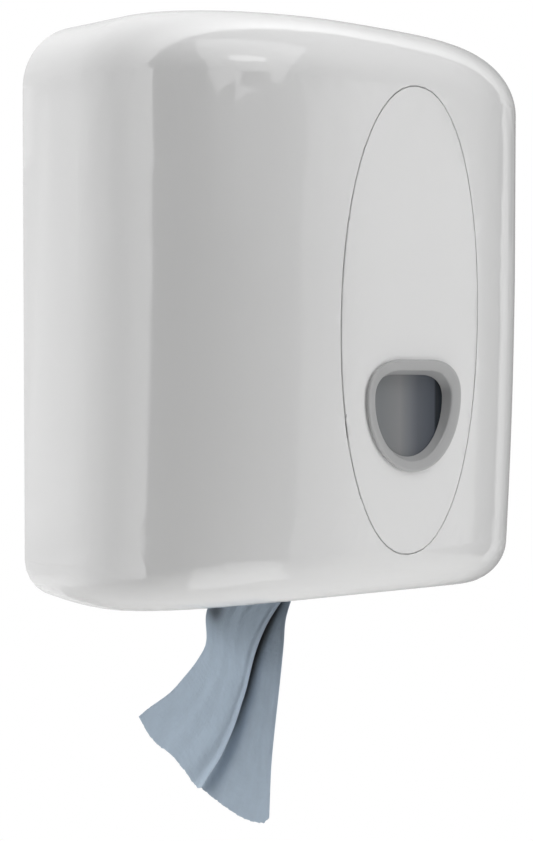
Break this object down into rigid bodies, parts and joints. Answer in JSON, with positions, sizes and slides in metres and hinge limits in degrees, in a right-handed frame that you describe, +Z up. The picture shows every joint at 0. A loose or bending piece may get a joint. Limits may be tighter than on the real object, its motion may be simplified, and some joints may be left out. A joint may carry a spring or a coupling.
{
  "type": "centrefeed roll dispenser",
  "caption": "Wall-mounted centrefeed paper roll dispenser: drop-down moulded cover with oval front inlay and viewing window, twist-off nozzle, roll on a shelf and a torn paper tail below.",
  "frame": {"origin": "on the back plate's wall face, at mid width and at the mid height of the cover", "axes": "+Y into the wall, so the front looks towards -Y; +X to the right seen from the front; +Z up"},
  "size_m": [0.2718, 0.2013, 0.4642],
  "materials": {
    "cover": "gloss white moulding",
    "inlay": "gloss white",
    "bezel": "light grey, satin gloss",
    "lens": "smoked clear plastic",
    "plate": "matte white",
    "nozzle": "matte white",
    "star": "soft dark rubber",
    "steel": "zinc plated",
    "lock": "grey",
    "paper": "blue crepe paper"
  },
  "bodies": {
    "wall_unit": {"back_plate": "plate", "roll_shelf": "plate", "shelf_screw_1": "steel", "shelf_screw_2": "steel", "shelf_screw_3": "steel", "shelf_screw_4": "steel", "striker": "steel", "striker_screw": "steel", "hinge_pin_left": "steel", "hinge_pin_right": "steel", "paper_roll": "paper", "paper_feed": "paper", "paper_tail": "paper"},
    "nozzle": {"nozzle_body": "nozzle", "nozzle_star": "star", "nozzle_ring": "nozzle"},
    "cover": {"cover_shell": "cover", "front_inlay": "inlay", "window_bezel": "bezel", "window_lens": "lens", "window_retainer": "plate", "lock_housing": "lock", "lock_nut": "lock"},
    "lock": {"lock_barrel": "steel", "lock_cam": "steel", "lock_cam_screw": "steel"}
  },
  "joints": [
    {"name": "cover_hinge", "type": "hinge", "parent": "wall_unit", "child": "cover", "pos_m": [0, -0.012, -0.162], "axis": [1, 0, 0], "range_deg": [0, 85], "deforming": ["paper_tail"]},
    {"name": "lock_turn", "type": "hinge", "parent": "cover", "child": "lock", "pos_m": [0, -0.032, 0.1672], "axis": [0, 0, 1], "range_deg": [0, 90]},
    {"name": "nozzle_twist", "type": "hinge", "parent": "wall_unit", "child": "nozzle", "pos_m": [0, -0.097, -0.1183], "axis": [0, 0, 1], "range_deg": [0, 45]}
  ]
}
